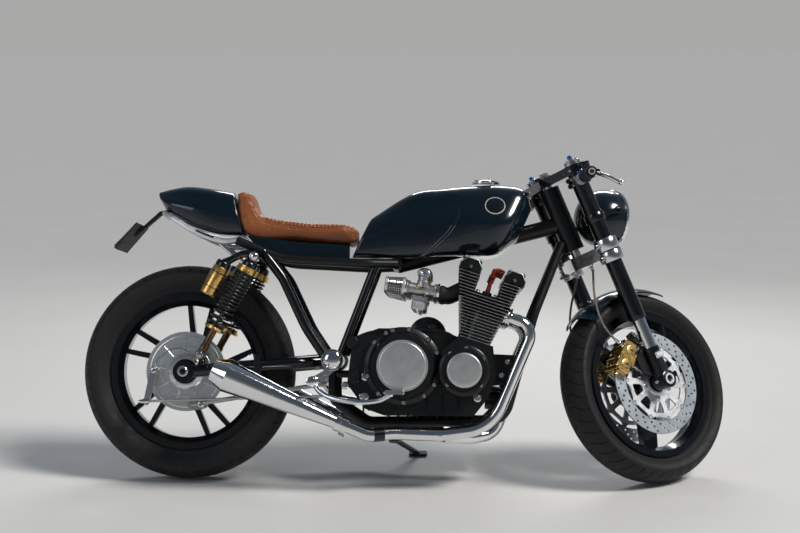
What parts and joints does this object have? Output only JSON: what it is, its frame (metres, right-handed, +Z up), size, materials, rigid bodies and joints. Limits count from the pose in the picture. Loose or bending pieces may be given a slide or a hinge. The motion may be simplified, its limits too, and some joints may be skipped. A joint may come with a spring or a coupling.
{
  "type": "cafe racer motorcycle",
  "caption": "Black cafe racer motorcycle leaning on its side stand: brown leather seat, air-cooled four-cylinder engine, megaphone exhausts, twin discs.",
  "frame": {"origin": "centre of the bounding box at the floor", "axes": "+X forward along the motorcycle, +Y to the rider's left, +Z up from the floor; it leans to +Y on its side stand"},
  "size_m": [2.0234, 0.6175, 1.004],
  "materials": {
    "gloss_black": "gloss",
    "satin_black": "satin",
    "chrome": "polished",
    "polished_alloy": "polished",
    "cast_alloy": "satin",
    "gold": "satin",
    "disc_steel": "brushed",
    "tyre_rubber": "matte",
    "black_rubber": "matte",
    "brown_leather": "satin",
    "lens_glass": "clear",
    "black_plastic": "matte",
    "hose": "satin"
  },
  "bodies": {
    "frame": {"frame_top": "satin_black", "frame_cradle": "satin_black", "frame_stays": "satin_black", "fuel_tank": "gloss_black", "filler_cap": "chrome", "seat": "brown_leather", "seat_base": "black_plastic", "tail_cowl": "gloss_black", "plate_holder": "black_plastic", "crankcase": "satin_black", "engine_covers": "polished_alloy", "cylinder_block": "satin_black", "cylinder_head": "satin_black", "carburettors": "cast_alloy", "air_filters": "black_plastic", "exhaust_headers": "chrome", "mufflers": "chrome", "swingarm": "satin_black", "final_drive": "satin_black", "rear_axle": "polished_alloy", "brake_panel": "polished_alloy", "brake_linkage": "cast_alloy", "shock_bodies": "gold", "shock_springs": "satin_black", "footrests": "chrome", "foot_levers": "chrome"},
    "rear_wheel_body": {"rear_tyre": "tyre_rubber", "rear_wheel": "gloss_black"},
    "stand": {"side_stand": "satin_black"},
    "steering": {"top_clamp": "satin_black", "bottom_clamp": "polished_alloy", "fork_tubes": "gloss_black", "fork_sliders": "chrome", "fork_feet": "satin_black", "front_axle": "polished_alloy", "headlight_shell": "gloss_black", "headlight_lens": "lens_glass", "handlebars": "chrome", "grips": "black_rubber", "front_mudguard": "gloss_black", "calipers": "gold", "brake_hoses": "hose"},
    "front_wheel_body": {"front_tyre": "tyre_rubber", "front_wheel": "gloss_black", "front_discs": "disc_steel"}
  },
  "joints": [
    {"name": "steering_turn", "type": "hinge", "parent": "frame", "child": "steering", "pos_m": [0.48853, 0.06188, 0.80227], "axis": [-0.3877, 0.1917, 0.9016], "range_deg": [-70, 0]},
    {"name": "front_wheel_spin", "type": "hinge", "parent": "steering", "child": "front_wheel_body", "pos_m": [0.74435, -0.02356, 0.28717], "axis": [-0.5287, 0.755, -0.3878], "continuous": true},
    {"name": "rear_wheel_spin", "type": "hinge", "parent": "frame", "child": "rear_wheel_body", "pos_m": [-0.6787, -0.03813, 0.33175], "axis": [0, 0.9781, -0.2079], "continuous": true},
    {"name": "side_stand_fold", "type": "hinge", "parent": "frame", "child": "stand", "pos_m": [-0.03939, 0.02753, 0.10197], "axis": [0.0453, 0.4721, 0.8804], "range_deg": [0, 98]}
  ]
}
